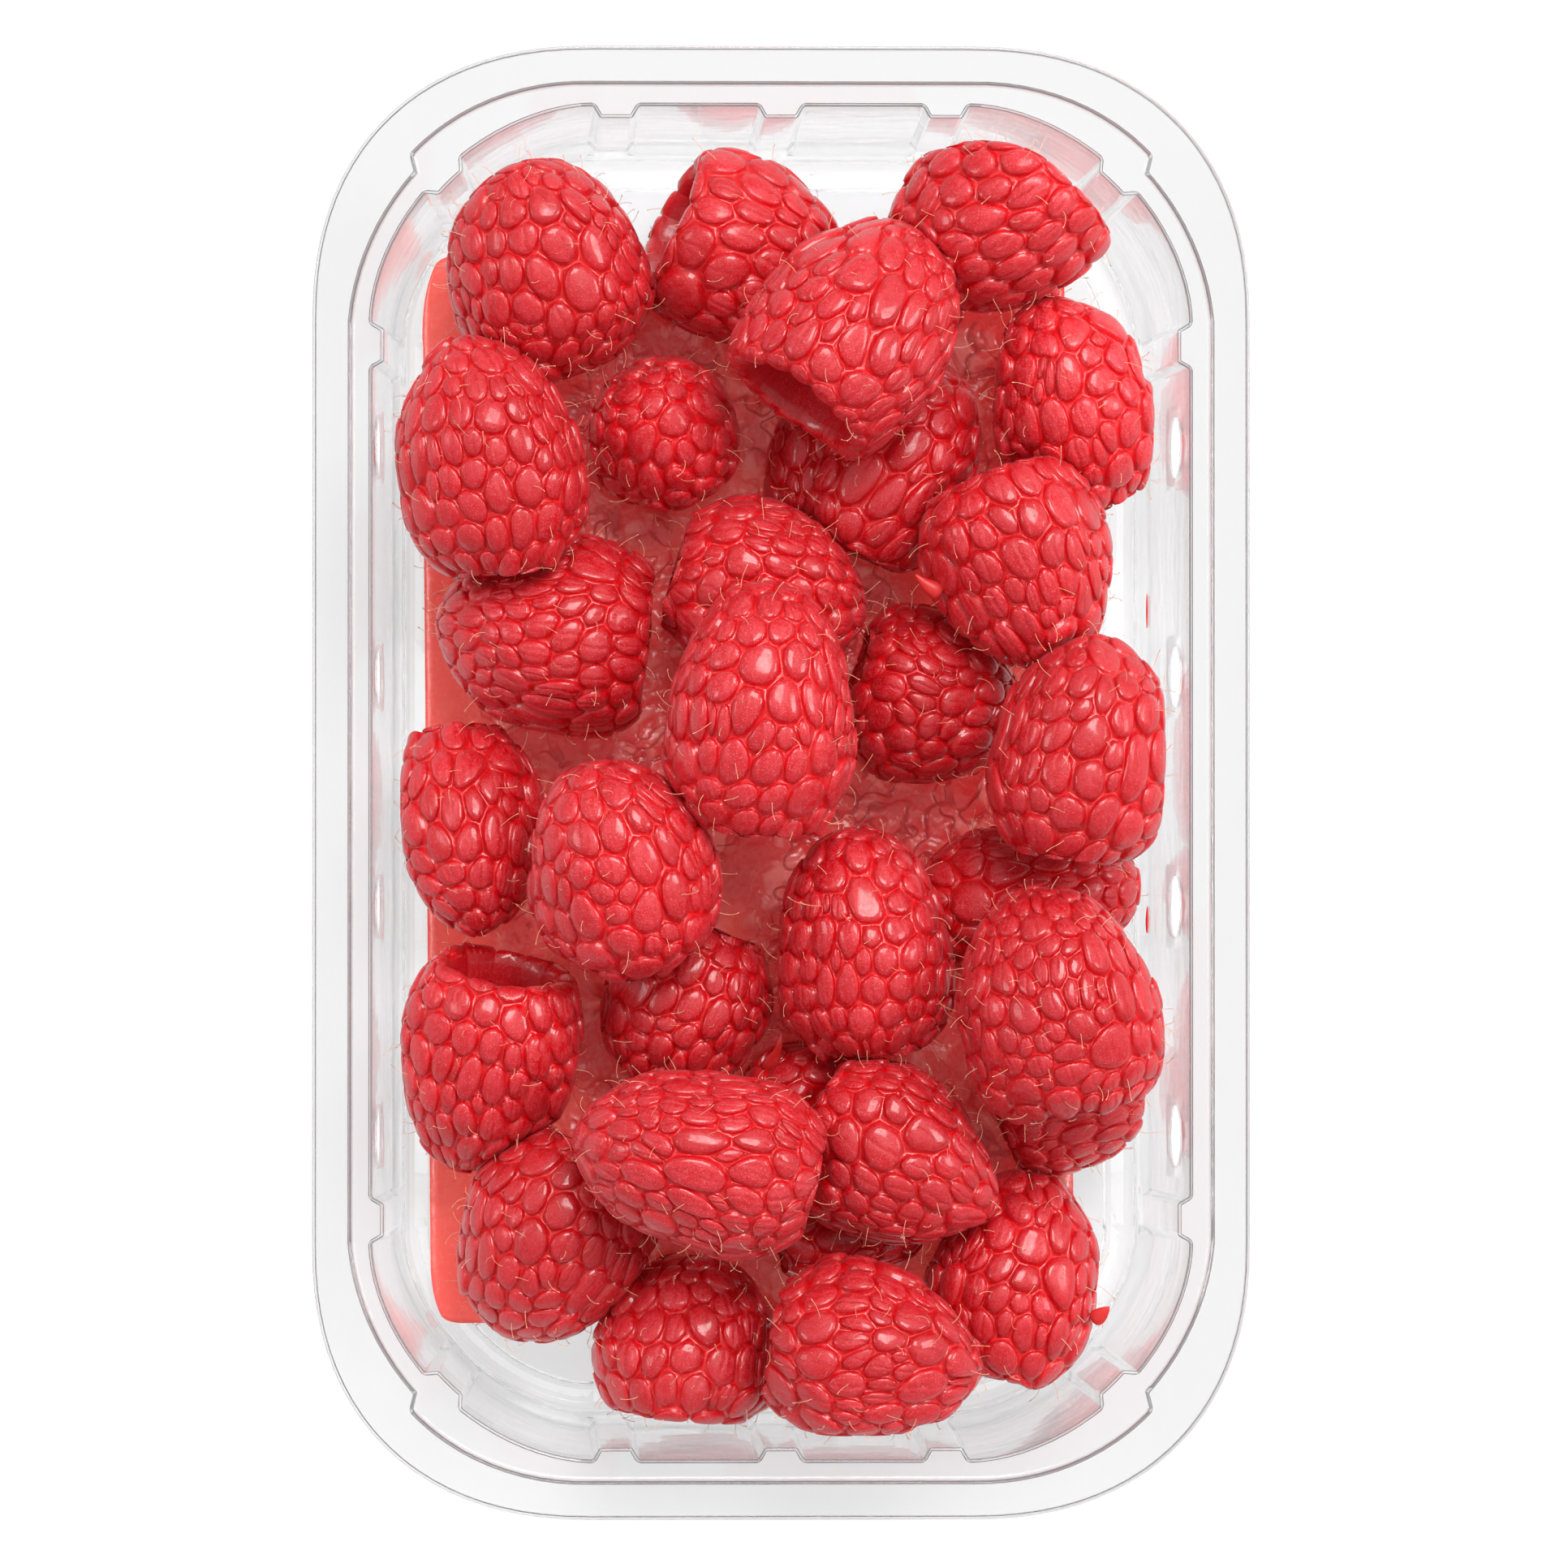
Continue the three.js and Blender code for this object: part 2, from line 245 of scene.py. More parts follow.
def tornFlesh():
    kit = Kit("torn raspberry flesh")
    tone = kit.mix(kit.noise(900.0), rgb(200, 20, 28), rgb(226, 66, 62))
    return kit.finish(kit.principled({
        "Base Color": tone,
        "Roughness": 0.3 + kit.noise(3000.0) * 0.2,
        "Subsurface Weight": 0.5,
        "Subsurface Radius": (1.0, 0.2, 0.15),
        "Subsurface Scale": 0.8 * mm,
    }))


def hairStuff():
    kit = Kit("raspberry hair")
    tone = kit.mix(kit.noise(240.0), rgb(238, 150, 112), rgb(255, 214, 178))
    return kit.finish(kit.principled({"Base Color": tone, "Roughness": 0.35}))


padTones = {
    "dry": (rgb(244, 104, 92), rgb(236, 88, 80)),
    "wet": rgb(206, 40, 46),
    # pale of the blisters, partly a painted highlight on the wet film
    "pale": rgb(242, 150, 142),
    "groove": rgb(178, 20, 28),
}


# Wet everywhere but along the left edge, with worm-shaped grooves and pale raised blisters in the
# wet part; the pale of the blisters is partly a painted highlight on the wet film
def padFilm():
    kit = Kit("wet pad film")
    across = kit.part(kit.place(), "X")
    wet = kit.smooth(kit.noise(55.0, 2.0), 0.3, 0.5) * kit.smooth(across, -0.04, -0.034)
    worms = (kit.noise(300.0, 0.0, 0.9) - 0.5).math("ABSOLUTE")
    grooved = kit.smooth(kit.noise(130.0, 1.0), 0.45, 0.6)
    groove = (1.0 - kit.smooth(worms, 0.0, 0.1)) * wet * grooved
    # pale blisters: raised by the relief below, and their pale partly a painted highlight on the
    # wet film
    pale = kit.smooth(kit.noise(240.0, 2.0, 0.6), 0.5, 0.68) * wet
    tone = kit.mix(kit.smooth(kit.noise(45.0, 3.0), 0.3, 0.7), *padTones["dry"])
    tone = kit.mix(wet * 0.7, tone, padTones["wet"])
    tone = kit.mix(pale * 0.5, tone, padTones["pale"])
    tone = kit.mix(groove * 0.75, tone, padTones["groove"])
    relief = kit.noise(300.0, 2.0) * (0.25 + wet * 0.7) + pale * 0.3 - groove * 0.3
    film = kit.principled({
        "Base Color": tone,
        "Roughness": 0.16 + kit.noise(900.0) * 0.2,
        "Normal": kit.bump(relief, 0.7 * mm),
        "Specular IOR Level": 0.7,
        "Subsurface Weight": 0.35,
        "Subsurface Radius": (1.0, 0.3, 0.25),
        "Subsurface Scale": 2.0 * mm,
        "Coat Weight": wet * 0.6,
        "Coat Roughness": 0.1,
        # a faint glow in its own tone: painted light that lifts the pad where it lies in shade
        "Emission Color": tone,
        "Emission Strength": 0.2,
    })
    kit.material.cycles.emission_sampling = "NONE"
    return kit.finish(film)


plasticTones = {
    "pane": (0.79, 0.795, 0.8, 1.0),
    "paintedReflection": (0.78, 0.68, 0.69, 1.0),  # pink on the walls: a painted reflection of the berries
    # grey for the lines along the bends: painted dark lines in place of their refraction
    "line": (0.18, 0.18, 0.19, 1.0),
    "passed": (0.955, 0.955, 0.96, 1.0),  # what light keeps on its way through
}


# Clear sheet: part glass, part plain see-through, grey along the bends of the rim as painted dark
# lines in place of their refraction, and pink on the walls as a painted reflection of the berries
def clearPlastic():
    kit = Kit("clear plastic")
    haze = kit.noise(90.0, 3.0, 0.8)
    edge = kit.add("ShaderNodeAttribute", {"attribute_name": "edge"}, None, "Fac")
    up = kit.part(kit.place(), "Z")
    wall = kit.smooth(up, 0.012, 0.016) * (1.0 - kit.smooth(up, 0.0515, 0.0525))
    # pink patches on the walls: a painted reflection of the berries
    paintedReflection = kit.smooth(kit.noise(30.0, 1.0), 0.47, 0.5) * wall
    pane = kit.principled({
        "Base Color": kit.mix(paintedReflection, plasticTones["pane"], plasticTones["paintedReflection"]),
        "Roughness": 0.03 + haze * 0.06,
        "IOR": 1.4,
        "Transmission Weight": 1.0,
        "Normal": kit.bump(kit.noise(160.0, 1.0), 0.3 * mm, 0.2),
    })
    # opaque grey for the painted dark lines at the bends
    grey = kit.principled({"Base Color": plasticTones["line"], "Roughness": 0.2})
    passed = kit.add("ShaderNodeBsdfTransparent", None, {"Color": plasticTones["passed"]})
    facing = kit.add("ShaderNodeLayerWeight", None, {"Blend": 0.5}, "Facing")
    toLamp = kit.add("ShaderNodeLightPath", output="Is Shadow Ray")
    clear = facing ** 3.0 * 0.6 + 0.12
    thin = kit.add("ShaderNodeMixShader", None, {0: clear, 1: pane, 2: passed})
    lined = kit.add("ShaderNodeMixShader", None, {0: edge * 0.6, 1: thin, 2: grey})
    return kit.finish(kit.add("ShaderNodeMixShader", None, {0: toLamp, 1: lined, 2: passed}))


def paleFloor():
    kit = Kit("pale floor")
    tone = kit.mix(kit.noise(3.0), (0.3, 0.3, 0.3, 1.0), (0.32, 0.32, 0.32, 1.0))
    return kit.finish(kit.principled({
        "Base Color": tone,
        "Roughness": 0.9,
        "Emission Color": (1.0, 1.0, 1.0, 1.0),
        "Emission Strength": 0.76,
    }))


# The form that all berries share. A berry is made standing on its open end, then turned
# and moved to its place; t runs from 0 at the open end to 1 at the tip.
berryForm = {
    "shoulder": 0.34,  # widest this far up
    "blunt": 2.2,  # the higher, the longer it stays wide towards the tip
    "flare": 2.5,  # and towards the open end
    "across": 0.97,  # size of a drupelet round the berry, as a share of the berry's own
    "along": 1.0,  # and from one row to the next
    "jitter": 0.48,  # how far a drupelet strays, as a share of its size
    "waver": 0.28,  # and how far a row does
    "missing": 0.05,  # share of drupelets left out, whose room the others take
    "double": 0.07,  # share that has another close beside it
    "beside": 0.55,  # this far on, in drupelets
    "bulge": 0.23,  # height of a drupelet as a share of its size
    "rings": [(1.0, 0.42), (0.91, 0.78), (0.56, 1.0)],  # size and height of the rings of its dome
    "lean": 0.05,  # how far its top leans towards the tip, as a share of its size
    "skin": 0.5 * mm,  # the valleys lie this far below the smooth outline
    "valley": 1.0,  # sharpness of the valleys
    "hollow": 0.42,  # depth of the hollow, as a share of the length
    "lipAt": 0.9,  # the row of drupelets that folds in over the open end, as a share of its radius
    "lipDrop": 0.3 * mm,  # and how far that row hangs out of it
    "hole": 0.66,  # the hole that is left, as a share of the first rows' radius
    "holeRise": 0.9 * mm,  # and how far inside the berry its edge lies
    "inset": 0.04 * mm,  # width of a new ring of faces before it gets its own size
    "growth": 0.9,  # below 1 the rows near the open end are the longest
    "lumps": 0.8 * mm,  # uneven swelling of the whole berry
    "lumpSize": 9 * mm,
    "yield": 0.5,  # each of two berries that touch gives way by this share of their overlap
}

# x, y and z of the middle, length and width in millimetres, heading of the tip round Z and its
# tilt in degrees; then pointedness of the tip from 0.5, round, to 1, a cone; size of the
# drupelets in millimetres; tone from 0, dark, to 1, light; and radius of the open end, as a
# share of the widest
berries = [
    # low down, mostly hidden
    (6.5, -41, 12.8, 22, 17, 20, 0, 0.5, 3.7, 0.25, 0.48),
    (10.5, -57.5, 12.8, 22, 17, 10, 0, 0.5, 3.7, 0.3, 0.48),
    (6.5, 42.5, 11.8, 20, 15, 80, 0, 0.5, 3.7, 0.2, 0.48),
    # the layer that lies on the pad
    (-14.5, 46, 17.7, 25, 20.6, 90, 78, 0.5, 4.1, 1.0, 0.48),
    (16.4, 42.2, 14.6, 28.5, 21, 62, 0, 0.5, 4.1, 0.3, 0.7),
    (20.6, 11.5, 15.3, 22.8, 24, -15, 0, 0.5, 3.6, 0.2, 0.48),
    (-11.8, -29.3, 15.3, 24.5, 22, 250, 0, 0.5, 3.7, 0.4, 0.48),
    (34.0, -14.5, 14, 30.2, 19.5, 5, 0, 0.5, 3.5, 0.4, 0.48),
    (39.3, -40.6, 14.5, 22.2, 19, 20, 0, 0.5, 3.3, 0.45, 0.7),
    (-39.2, -6.0, 15.5, 29.4, 19.3, -84, 20, 0.52, 3.9, 0.5, 0.48),
    (-29.8, 19.8, 17, 29.4, 26, 174, 0, 0.58, 3.6, 0.5, 0.7),
    (-2.8, 69, 16, 25.5, 25, -25, -8, 0.55, 4.5, 0.4, 0.82),
    (-37.3, -36.4, 17.5, 29.4, 23.4, -99, -17, 0.5, 3.9, 0.55, 0.8),
    (-28.9, -59, 17.5, 29, 25.2, 245, 0, 0.55, 3.7, 0.2, 0.48),
    (-10.7, -72.2, 16, 22.8, 24.4, 80, 0, 0.5, 4.1, 0.4, 0.7),
    (31.5, -64, 16, 29.4, 22.8, 78, 0, 0.52, 3.9, 0.32, 0.7),
    (38.8, 50.2, 20.5, 28.8, 22.6, 105, 20, 0.5, 3.7, 0.85, 0.48),
    (-30.4, 68.4, 22.5, 31, 26.4, 109, 25, 0.78, 3.7, 0.28, 0.48),
    (27.7, 73.4, 24, 27.5, 25.4, 216, -8, 0.5, 4.3, 0.5, 0.86),
    # between and on top of them
    (-37.3, 42.4, 28, 32.3, 24.4, 100, 8, 0.5, 3.9, 0.45, 0.48),
    (-1.1, 25.2, 21, 27, 23.5, -15, 0, 0.52, 3.9, 0.45, 0.48),
    (32.1, 28, 26, 28, 24.3, -69, 0, 0.52, 4.0, 0.55, 0.7),
    (11.6, -20.4, 23.5, 31, 23.3, 98, 8, 0.52, 3.8, 0.65, 0.48),
    (16.4, -48.9, 25, 28.8, 23.8, -30, 3, 0.85, 3.7, 0.4, 0.75),
    (13.1, -74, 28, 29.6, 24.6, -10, 5, 0.72, 4.0, 0.42, 0.48),
    (10.8, 59.6, 31, 30.6, 25.8, 53, -14, 0.56, 3.8, 0.68, 0.9),
    (39.4, 4.5, 32, 30.6, 23.6, 82, 4, 0.5, 4.0, 0.35, 0.48),
    (-20, -10.3, 32, 28.4, 25.2, 105, 22, 0.5, 4.1, 0.8, 0.48),
    (36.1, -28.1, 33, 31, 26.6, 103, 5, 0.5, 3.6, 0.45, 0.48),
    (-10.2, -48.2, 35, 33, 23.6, 168, 3, 0.52, 3.6, 0.65, 0.48),
    (-2, 9.7, 35.5, 34, 24.8, 88, 9, 0.5, 4.0, 0.9, 0.48),
]


# A berry's smooth body: where it lies, and how deep inside it a point is
class Body:
    def __init__(self, x, y, z, long, wide, heading, tilt, point, cell, tone, mouth):
        self.middle = Vector((x, y, z)) * mm
        self.long = long * mm
        self.wide = wide * mm
        self.point = point
        self.cell = cell * mm
        self.tone = tone
        self.mouth = mouth
        turn, lift = math.radians(heading), math.radians(tilt)
        flat = math.cos(lift)
        self.axis = Vector((math.cos(turn) * flat, math.sin(turn) * flat, math.sin(lift)))

    def radius(self, t):
        shoulder = berryForm["shoulder"]
        if t > shoulder:
            fall = 1 - ((t - shoulder) / (1 - shoulder)) ** berryForm["blunt"]
            return self.wide / 2 * max(0.0, fall) ** self.point
        narrower = (1 - self.mouth) * ((shoulder - t) / shoulder) ** berryForm["flare"]
        return self.wide / 2 * (1 - narrower)

    def nearestCore(self, point):
        along = (point - self.middle).dot(self.axis)
        limit = max(0.0, (self.long - self.wide) / 2)
        return self.middle + self.axis * max(-limit, min(limit, along))

    def depth(self, point):
        t = (point - self.middle).dot(self.axis) / self.long + 0.5
        if not 0.0 < t < 1.0:
            return 0.0
        out = (point - self.middle - self.axis * (t - 0.5) * self.long).length
        above, under = self.radius(min(1.0, t + 0.01)), self.radius(max(0.0, t - 0.01))
        slope = (above - under) / (0.02 * self.long)
        return (self.radius(t) - out) / math.sqrt(1 + slope * slope)


# Inner faces of the tray, for the berries that lean on them: half width and half length at a
# height, of the panels between the ribs
walls = {
    "foot": (48.3 * mm, 82.6 * mm, 5.5 * mm),
    "top": (52.0 * mm, 86.05 * mm, 52.3 * mm),
    "gap": 0.35 * mm,
    "soft": 1.0 * mm,  # how gently a berry turns flat there
    "rib": 1.45 * mm,  # how far a rib stands in
    "ribHalf": 3.2 * mm,
    "endRibs": (-21 * mm, 0.0, 21 * mm),
    "sideRib": 55.6 * mm,
    "corner": (24 * mm, 58.6 * mm),  # where the corners begin
    "cornerPower": 1.75,
    "cornerSoft": 0.1,  # as "soft", as a share of the corner's size
}


# A number pressed softly against a limit, so that a berry lies flat against the wall
def pressed(value, limit):
    soft = walls["soft"]
    over = abs(value) - (limit - soft)
    if over <= 0:
        return value
    return math.copysign(limit - soft * math.exp(-over / soft), value)


def keepInside(point, floorTop):
    footX, footY, footZ = walls["foot"]
    topX, topY, topZ = walls["top"]
    rise = (point.z - footZ) / (topZ - footZ)
    halfX = footX + (topX - footX) * rise - walls["gap"]
    halfY = footY + (topY - footY) * rise - walls["gap"]
    if abs(abs(point.y) - walls["sideRib"]) < walls["ribHalf"]:
        halfX -= walls["rib"]
    if any(abs(point.x - rib) < walls["ribHalf"] for rib in walls["endRibs"]):
        halfY -= walls["rib"]
    point.x = pressed(point.x, halfX)
    point.y = pressed(point.y, halfY)
    point.z = max(floorTop, point.z)
    cornerX, cornerY = walls["corner"]
    outX = max(0.0, abs(point.x) - cornerX)
    outY = max(0.0, abs(point.y) - cornerY)
    power, soft = walls["cornerPower"], walls["cornerSoft"]
    shareX, shareY = outX / (halfX - cornerX), outY / (halfY - cornerY)
    over = (shareX ** power + shareY ** power) ** (1 / power)
    if outX and outY and over > 1 - soft:
        pull = (1 - soft * math.exp(-(over - (1 - soft)) / soft)) / over
        point.x = math.copysign(cornerX + outX * pull, point.x)
        point.y = math.copysign(cornerY + outY * pull, point.y)


# The middles of the drupelets: staggered rows round the berry, closed by one at the tip
def drupeletSpots(body, dice):
    form = berryForm
    long, wide = body.long - 2 * form["skin"], body.wide - 2 * form["skin"]
    shrink = wide / body.wide
    steps = 160
    path = [Vector((body.radius(i / steps) * shrink, 0.0, i / steps * long))
            for i in range(steps + 1)]
    travelled = [0.0]
    for before, after in zip(path, path[1:]):
        travelled.append(travelled[-1] + (after - before).length)
    total = travelled[-1]
    rows = round(total / (form["along"] * body.cell)) - 1
    spacing = total / (rows + 0.6)
    spots = []
    for row in range(rows):
        reach = total * ((row + 0.75) / (rows + 0.5)) ** form["growth"]
        radius = path[next(i for i, far in enumerate(travelled) if far >= reach)].x
        size = form["across"] * body.cell * dice.uniform(0.94, 1.08)
        count = max(4, round(2 * math.pi * radius / size))
        start = dice.uniform(-0.15, 0.15) + 0.5 * (row % 2)
        phase = dice.uniform(0, 2 * math.pi)
        for i in range(count):
            if dice.random() < form["missing"]:
                continue
            stray = form["jitter"] * dice.uniform(-0.5, 0.5)
            angle = 2 * math.pi * (i + start + stray) / count
            drift = form["jitter"] * dice.uniform(-0.6, 0.6)
            drift += form["waver"] * math.sin(2 * angle + phase)
            far = min(total, max(0.0, reach + spacing * drift))
            at = path[next(i for i, passed in enumerate(travelled) if passed >= far)]
            spots.append(Vector((at.x * math.cos(angle), at.x * math.sin(angle), at.z)))
            if dice.random() < form["double"]:
                angle += form["beside"] * 2 * math.pi / count
                spots.append(Vector((at.x * math.cos(angle), at.x * math.sin(angle), at.z)))
    spots.append(Vector((0.0, 0.0, long)))
    lip = form["lipAt"] * path[0].x
    count = max(7, round(2 * math.pi * lip / (form["across"] * body.cell)))
    for i in range(count):
        angle = 2 * math.pi * (i + dice.uniform(-0.2, 0.2)) / count
        spots.append(Vector((lip * math.cos(angle), lip * math.sin(angle), -form["lipDrop"])))
    below = Vector((0.0, 0.0, -0.12 * long))  # closes the open end while the cells are made
    return spots, below


# The hull of the spots. Its faces come out in any order, so they are copied in a fixed one, for
# the dice to fall the same each time.
def hullRound(spots):
    loose = bmesh.new()
    bmesh.ops.convex_hull(loose, input=[loose.verts.new(spot) for spot in spots])
    loose.verts.index_update()
    faces = []
    for face in loose.faces:
        numbers = [vert.index for vert in face.verts]
        first = numbers.index(min(numbers))
        faces.append(numbers[first:] + numbers[:first])
    mesh = bmesh.new()
    corners = [mesh.verts.new(vert.co) for vert in loose.verts]
    loose.free()
    for numbers in sorted(faces):
        mesh.faces.new([corners[number] for number in numbers])
    return mesh, corners


# One many-sided cell for each spot: the hull of the spots, turned into its dual
def cellsRound(spots, below):
    mesh, corners = hullRound([*spots, below])
    hullEdges = mesh.edges[:]
    bmesh.ops.poke(mesh, faces=mesh.faces[:])
    bmesh.ops.rotate_edges(mesh, edges=hullEdges, use_ccw=False)
    bmesh.ops.dissolve_verts(mesh, verts=corners)
    mesh.normal_update()
    mouth = min(mesh.faces, key=lambda face: face.calc_center_median().z)
    firstRows = spots[:24]
    hole = berryForm["hole"] * max(spot.x for spot in firstRows)
    for vert in mouth.verts:
        flat = Vector((vert.co.x, vert.co.y, 0.0)).normalized()
        vert.co = flat * hole + Vector((0.0, 0.0, berryForm["holeRise"]))
    return mesh, [face for face in mesh.faces if face != mouth], mouth


# Each drupelet's own flat map from -0.5 to 0.5 or so, and its tone, height and furrow
def paintLoops(face, frame, tone, furrow, uvLayer, cellLayer, heights):
    middle, east, north, size = frame
    for loop in face.loops:
        offset = loop.vert.co - middle
        loop[uvLayer].uv = (offset.dot(east) / size, offset.dot(north) / size)
        loop[cellLayer] = (tone, heights.get(loop.vert, 0.0), furrow, 1.0)


# Every cell swells into a drupelet: ring by ring, each smaller and higher than the one before
def raiseDrupelets(mesh, cells, body, dice):
    form = berryForm
    uvLayer = mesh.loops.layers.uv.new("drupelet")
    cellLayer = mesh.loops.layers.float_color.new("cell")
    creaseLayer = mesh.edges.layers.float.new("crease_edge")
    inner = set(cells)
    for edge in mesh.edges:
        if edge.link_faces and inner.issuperset(edge.link_faces):
            edge[creaseLayer] = form["valley"] * dice.uniform(0.8, 1.0)
    frames, lifts, heights = [], [], {}
    for cell in cells:
        middle, normal = cell.calc_center_median(), cell.normal.copy()
        east = Vector((-middle.y, middle.x, 0.0))
        east = east.normalized() if east.length > 1e-6 else Vector((1.0, 0.0, 0.0))
        north = normal.cross(east)
        size = math.sqrt(cell.calc_area())
        high = form["bulge"] * size * dice.uniform(0.8, 1.2)
        lean = north * form["lean"] * size + east * dice.uniform(-0.05, 0.05) * size
        frames.append((middle, east, north, size))
        lifts.append(normal * high + lean)
    faces = [[cell] for cell in cells]
    inset = form["inset"]
    shareBefore, riseBefore = 1.0, 0.0
    for share, rise in form["rings"]:
        bmesh.ops.inset_individual(mesh, faces=cells, thickness=inset)
        for cell, frame, lift, own in zip(cells, frames, lifts, faces):
            own += [face for edge in cell.edges for face in edge.link_faces if face != cell]
            corners = cell.verts[:]
            width = frame[3] * shareBefore
            factor = share / shareBefore / (1 - 2 * inset / width)
            back = Matrix.Translation(-cell.calc_center_median())
            bmesh.ops.scale(mesh, vec=(factor,) * 3, space=back, verts=corners)
            bmesh.ops.translate(mesh, vec=lift * (rise - riseBefore), verts=corners)
            heights.update(dict.fromkeys(corners, rise))
        shareBefore, riseBefore = share, rise
    for frame, own in zip(frames, faces):
        tone = min(1.0, max(0.0, body.tone + dice.uniform(-0.22, 0.22)))
        furrow = dice.random() ** 0.7
        for face in own:
            paintLoops(face, frame, tone, furrow, uvLayer, cellLayer, heights)
    return uvLayer, cellLayer


# The steps of the hollow: how much each is narrower, and its share of the depth
hollowSteps = [(0.4 * mm, 0.25), (0.6 * mm, 0.4), (1.6 * mm, 0.35)]


# The open end: a hollow that narrows towards the tip, its wall striped by the drupelets' backs, its
# wall and far end given darker tones as painted shade inside the hollow
def openMouth(mesh, mouth, body, uvLayer, cellLayer):
    depth = berryForm["hollow"] * body.long
    for thickness, rise in hollowSteps:
        inset = bmesh.ops.inset_individual(mesh, faces=[mouth], thickness=thickness, depth=0.0)
        bmesh.ops.translate(mesh, vec=(0.0, 0.0, rise * depth), verts=mouth.verts[:])
        for face in inset["faces"]:
            turn = math.atan2(face.calc_center_median().y, face.calc_center_median().x)
            for loop in face.loops:
                around = math.atan2(loop.vert.co.y, loop.vert.co.x) - turn
                # the wall of the hollow a little darker than the berry: painted shade
                loop[cellLayer] = (body.tone * 0.8, 0.6, 1.0, 1.0)
                loop[uvLayer].uv = (math.remainder(around, 2 * math.pi) * 2.0, 0.3)
    for loop in mouth.loops:
        # its far end darker still: painted shade deep in the hollow
        loop[cellLayer] = (body.tone * 0.5, 0.3, 0.0, 1.0)
        loop[uvLayer].uv = (0.5, 0.5)


def placeBerry(mesh, body, dice):
    turn = body.axis.to_track_quat("Z", "Y").to_matrix().to_4x4()
    roll = Matrix.Rotation(dice.uniform(0, 2 * math.pi), 4, "Z")
    start = Matrix.Translation((0.0, 0.0, -(body.long / 2 - berryForm["skin"])))
    matrix = Matrix.Translation(body.middle) @ turn @ roll @ start
    bmesh.ops.transform(mesh, matrix=matrix, verts=mesh.verts[:])


# Berries press each other flat where they touch, and stay inside the tray
def settle(mesh, body, bodies, floorTop):
    others = [other for other in bodies if other is not body]
    near = [other for other in others
            if (other.middle - body.middle).length < (other.long + body.long) / 2]
    for vert in mesh.verts:
        vert.co += noise.noise_vector(vert.co / berryForm["lumpSize"]) * berryForm["lumps"]
        for other in near:
            deep = other.depth(vert.co)
            if deep > 0:
                inward = (body.nearestCore(vert.co) - vert.co).normalized()
                vert.co += inward * deep * berryForm["yield"]
        keepInside(vert.co, floorTop)


def makeBerry(name, body, bodies, skin, floorTop):
    dice = random.Random(name)
    spots, below = drupeletSpots(body, dice)
    mesh, cells, mouth = cellsRound(spots, below)
    uvLayer, cellLayer = raiseDrupelets(mesh, cells, body, dice)
    openMouth(mesh, mouth, body, uvLayer, cellLayer)
    placeBerry(mesh, body, dice)
    settle(mesh, body, bodies, floorTop)
    mesh.normal_update()
    roots = [(cell.calc_center_median(), cell.normal.copy()) for cell in cells]
    for face in mesh.faces:
        face.smooth = True
    piece = newPiece(name, mesh, skin)
    smooth = piece.modifiers.new("round", "SUBSURF")
    smooth.levels = 1
    smooth.render_levels = 1
    return piece, roots


def newPiece(name, mesh, material):
    data = bpy.data.meshes.new(name)
    mesh.to_mesh(data)
    mesh.free()
    data.materials.append(material)
    piece = bpy.data.objects.new(name, data)
    bpy.context.scene.collection.objects.link(piece)
    return piece


def fit(piece, node):
    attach(piece, "root")
    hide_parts(node)


hairs = {
    "share": 0.58,  # how many drupelets have one
    "length": (1.6 * mm, 3.6 * mm),
    "radius": 0.046 * mm,
    "points": 7,
    "aside": 1.2,  # at most this far off the middle of its drupelet, in millimetres
    "sunk": 0.4 * mm,  # how deep it is rooted
    "lean": 0.35,  # how far its foot leans, in radians, as are the next two
    "bend": (0.5, 1.5),  # how much further its tip does
    "twist": 1.6,  # at most this far round by the tip
    "taper": 0.45,
    "tip": 1.6,  # the small knob at its end, as a share of the radius
}


# Fine curved hairs, each bending down from the middle of a drupelet
def makeHairs(roots, material):
    dice = random.Random("hairs")
    curve = bpy.data.curves.new("hairs", "CURVE")
    curve.dimensions = "3D"
    curve.bevel_depth = hairs["radius"]
    curve.bevel_resolution = 0
    for root, normal in roots:
        if dice.random() > hairs["share"]:
            continue
        length = dice.uniform(*hairs["length"])
        side = normal.orthogonal().normalized()
        side.rotate(Matrix.Rotation(dice.uniform(0, 2 * math.pi), 3, normal))
        bend = dice.uniform(*hairs["bend"])
        twist = dice.uniform(-hairs["twist"], hairs["twist"])
        point = root + side * dice.uniform(0, hairs["aside"]) * mm - normal * hairs["sunk"]
        count = hairs["points"]
        spline = curve.splines.new("POLY")
        spline.points.add(count - 1)
        for i in range(count):
            share = i / (count - 1)
            spline.points[i].co = (*point, 1.0)
            thick = 1.0 - hairs["taper"] * share
            spline.points[i].radius = hairs["tip"] if i == count - 1 else thick
            lean = hairs["lean"] + bend * share
            heading = side.copy()
            heading.rotate(Matrix.Rotation(twist * share, 3, normal))
            step = normal * math.cos(lean) + heading * math.sin(lean)
            point = point + step * length / (count - 1)
    holder = bpy.data.objects.new("hairCurves", curve)
    bpy.context.scene.collection.objects.link(holder)
    drawn = holder.evaluated_get(bpy.context.evaluated_depsgraph_get())
    data = bpy.data.meshes.new_from_object(drawn)
    bpy.data.objects.remove(holder)
    data.name = "berryHairs"
    data.materials.clear()
    data.materials.append(material)
    piece = bpy.data.objects.new("berryHairs", data)
    bpy.context.scene.collection.objects.link(piece)
    return piece


